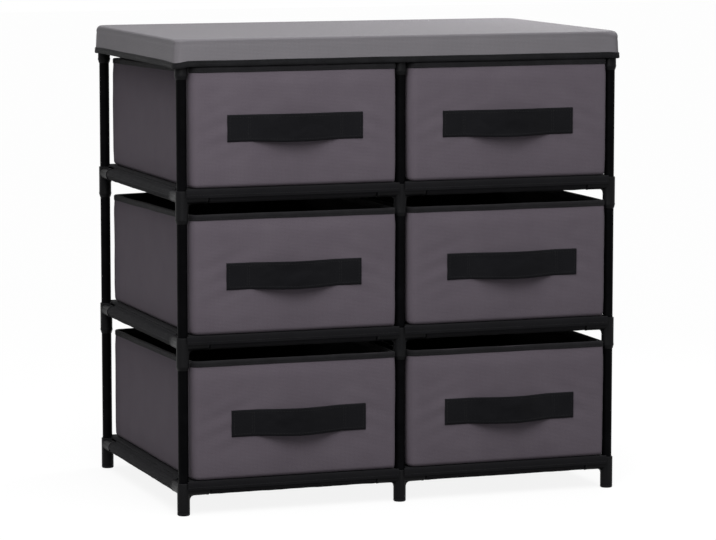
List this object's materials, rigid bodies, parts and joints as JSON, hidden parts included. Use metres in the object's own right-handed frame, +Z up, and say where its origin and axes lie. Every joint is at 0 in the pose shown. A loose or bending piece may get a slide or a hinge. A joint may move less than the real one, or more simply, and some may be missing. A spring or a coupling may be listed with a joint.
{
  "type": "fabric drawer dresser",
  "caption": "Free-standing rack of steel tube and moulded joints, with fabric drawers that slide out on fabric shelves under a stiffened fabric lid.",
  "frame": {"origin": "on the floor, under the middle of the whole box, handles included", "axes": "+Z up, the drawer fronts face -Y, +X to the right as seen from the front"},
  "size_m": [0.554, 0.3666, 0.5523],
  "materials": {
    "steel_tube": "satin black powder coat",
    "joint_plastic": "fine moulded black",
    "shelf_fabric": "black spunbond cloth over a stiff panel",
    "drawer_fabric": "mauve-grey spunbond cloth over board",
    "strap": "black strap, stitched ends",
    "lid_fabric": "grey spunbond cloth",
    "binding_tape": "black folded tape",
    "lid_board": "plain hardboard"
  },
  "bodies": {
    "rack": {"front_left_post": "steel_tube", "front_middle_post": "steel_tube", "front_right_post": "steel_tube", "back_left_post": "steel_tube", "back_middle_post": "steel_tube", "back_right_post": "steel_tube", "front_left_connector_0": "joint_plastic", "front_right_connector_0": "joint_plastic", "back_right_connector_0": "joint_plastic", "back_left_connector_0": "joint_plastic", "front_rails_with_middle_connector_0": "steel_tube", "back_rails_with_middle_connector_0": "steel_tube", "left_depth_rail_0": "steel_tube", "middle_depth_rail_0": "steel_tube", "right_depth_rail_0": "steel_tube", "shelf_0": "shelf_fabric", "front_left_connector_1": "joint_plastic", "front_right_connector_1": "joint_plastic", "back_right_connector_1": "joint_plastic", "back_left_connector_1": "joint_plastic", "front_rails_with_middle_connector_1": "steel_tube", "back_rails_with_middle_connector_1": "steel_tube", "left_depth_rail_1": "steel_tube", "middle_depth_rail_1": "steel_tube", "right_depth_rail_1": "steel_tube", "shelf_1": "shelf_fabric", "front_left_connector_2": "joint_plastic", "front_right_connector_2": "joint_plastic", "back_right_connector_2": "joint_plastic", "back_left_connector_2": "joint_plastic", "front_rails_with_middle_connector_2": "steel_tube", "back_rails_with_middle_connector_2": "steel_tube", "left_depth_rail_2": "steel_tube", "middle_depth_rail_2": "steel_tube", "right_depth_rail_2": "steel_tube", "shelf_2": "shelf_fabric", "front_left_connector_3": "joint_plastic", "front_right_connector_3": "joint_plastic", "back_right_connector_3": "joint_plastic", "back_left_connector_3": "joint_plastic", "front_rails_with_middle_connector_3": "steel_tube", "back_rails_with_middle_connector_3": "steel_tube", "left_depth_rail_3": "steel_tube", "middle_depth_rail_3": "steel_tube", "right_depth_rail_3": "steel_tube", "lid_board": "lid_board", "lid_cover": "lid_fabric", "lid_binding": "binding_tape"},
    "bottom_left_bin": {"bottom_left_drawer": "drawer_fabric", "bottom_left_handle": "strap"},
    "bottom_right_bin": {"bottom_right_drawer": "drawer_fabric", "bottom_right_handle": "strap"},
    "middle_left_bin": {"middle_left_drawer": "drawer_fabric", "middle_left_handle": "strap"},
    "middle_right_bin": {"middle_right_drawer": "drawer_fabric", "middle_right_handle": "strap"},
    "top_left_bin": {"top_left_drawer": "drawer_fabric", "top_left_handle": "strap"},
    "top_right_bin": {"top_right_drawer": "drawer_fabric", "top_right_handle": "strap"}
  },
  "joints": [
    {"name": "bottom_left_slide", "type": "slide", "parent": "rack", "child": "bottom_left_bin", "axis": [0, -1, 0], "range_m": [0, 0.25]},
    {"name": "bottom_right_slide", "type": "slide", "parent": "rack", "child": "bottom_right_bin", "axis": [0, -1, 0], "range_m": [0, 0.25]},
    {"name": "middle_left_slide", "type": "slide", "parent": "rack", "child": "middle_left_bin", "axis": [0, -1, 0], "range_m": [0, 0.25]},
    {"name": "middle_right_slide", "type": "slide", "parent": "rack", "child": "middle_right_bin", "axis": [0, -1, 0], "range_m": [0, 0.25]},
    {"name": "top_left_slide", "type": "slide", "parent": "rack", "child": "top_left_bin", "axis": [0, -1, 0], "range_m": [0, 0.25]},
    {"name": "top_right_slide", "type": "slide", "parent": "rack", "child": "top_right_bin", "axis": [0, -1, 0], "range_m": [0, 0.25]}
  ]
}
